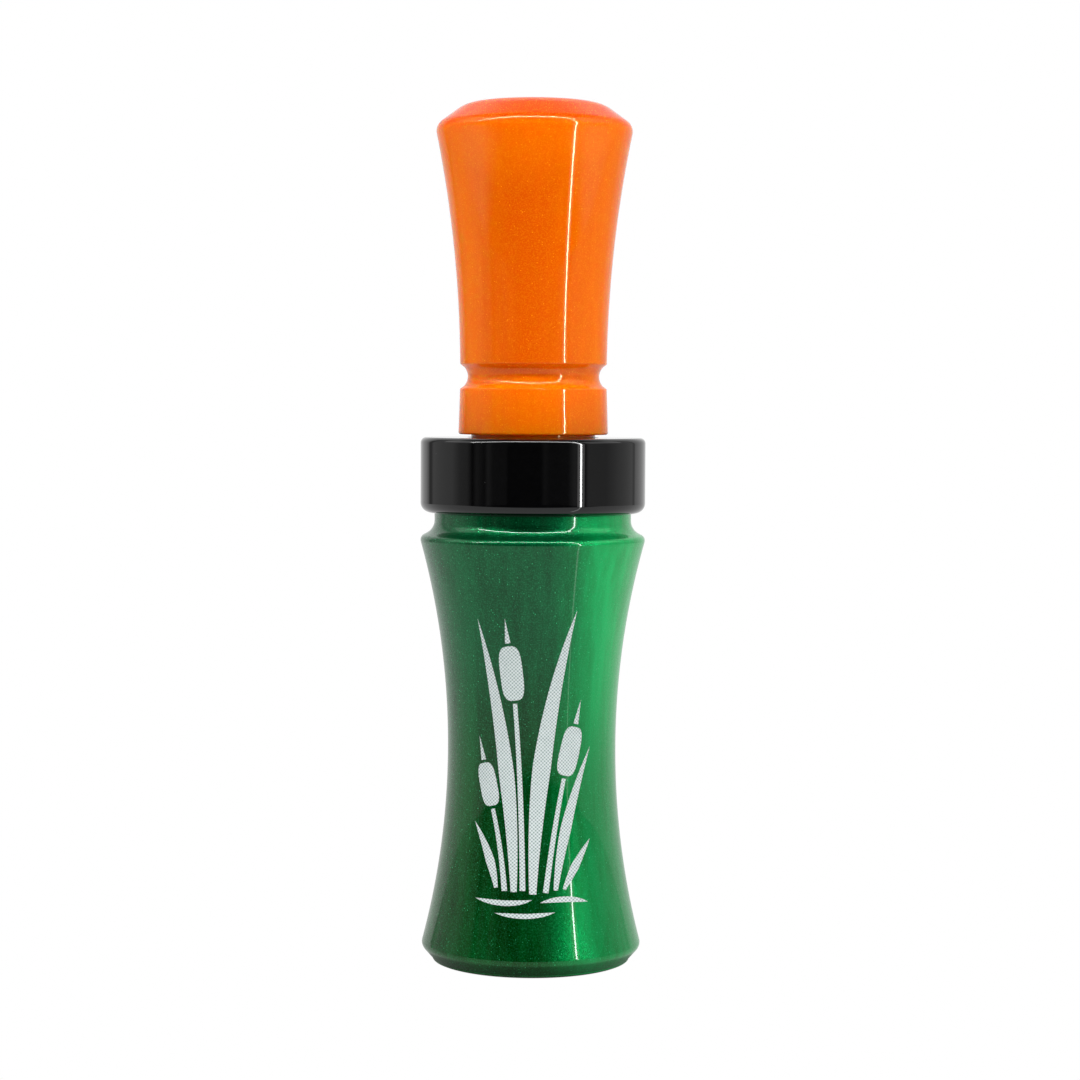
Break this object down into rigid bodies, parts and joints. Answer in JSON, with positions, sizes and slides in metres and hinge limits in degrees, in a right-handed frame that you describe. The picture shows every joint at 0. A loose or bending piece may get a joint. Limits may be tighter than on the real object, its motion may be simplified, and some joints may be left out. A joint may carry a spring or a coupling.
{
  "type": "duck call",
  "caption": "Turned acrylic duck call: hourglass barrel with a lanyard groove, dark band, and a flared plug-in insert holding a tone board and reeds.",
  "frame": {"origin": "centre of the mouth end's flat rim, which the call stands on", "axes": "+Z along the call's axis from the mouth end to the exhaust end; -Y is the side with the engraving, which the reeds also face"},
  "size_m": [0.0338, 0.0338, 0.1285],
  "materials": {
    "green_acrylic": "polished pearl acrylic",
    "black_acrylic": "polished",
    "orange_acrylic": "polished pearl acrylic",
    "moulded_board": "moulded, satin",
    "reed_film": "frosted film",
    "cork": "natural cork",
    "rubber": "matte"
  },
  "bodies": {
    "barrel": {"barrel": "green_acrylic", "band": "black_acrylic"},
    "seals": {"o_ring_front": "rubber", "o_ring_rear": "rubber"},
    "insert": {"insert": "orange_acrylic", "tone_board": "moulded_board", "wedge": "cork"},
    "reed_lower": {"reed_lower": "reed_film"},
    "reed_upper": {"reed_upper": "reed_film"}
  },
  "joints": [
    {"name": "insert_pull", "type": "slide", "parent": "barrel", "child": "seals", "axis": [0, 0, 1], "range_m": [0, 0.07]},
    {"name": "insert_turn", "type": "hinge", "parent": "seals", "child": "insert", "pos_m": [0, 0, 0.0793], "axis": [0, 0, 1], "continuous": true},
    {"name": "reed_lower_flex", "type": "hinge", "parent": "insert", "child": "reed_lower", "pos_m": [0, 0.00007, 0.0516], "axis": [1, 0, 0], "range_deg": [-1, 1], "stiffness_Nm_per_rad": 0.01},
    {"name": "reed_upper_flex", "type": "hinge", "parent": "insert", "child": "reed_upper", "pos_m": [0, -0.00038, 0.0516], "axis": [1, 0, 0], "range_deg": [-1, 1], "stiffness_Nm_per_rad": 0.01}
  ],
  "couplings": [
    {"joint": "reed_upper_flex", "follows": "reed_lower_flex", "ratio": 1}
  ]
}
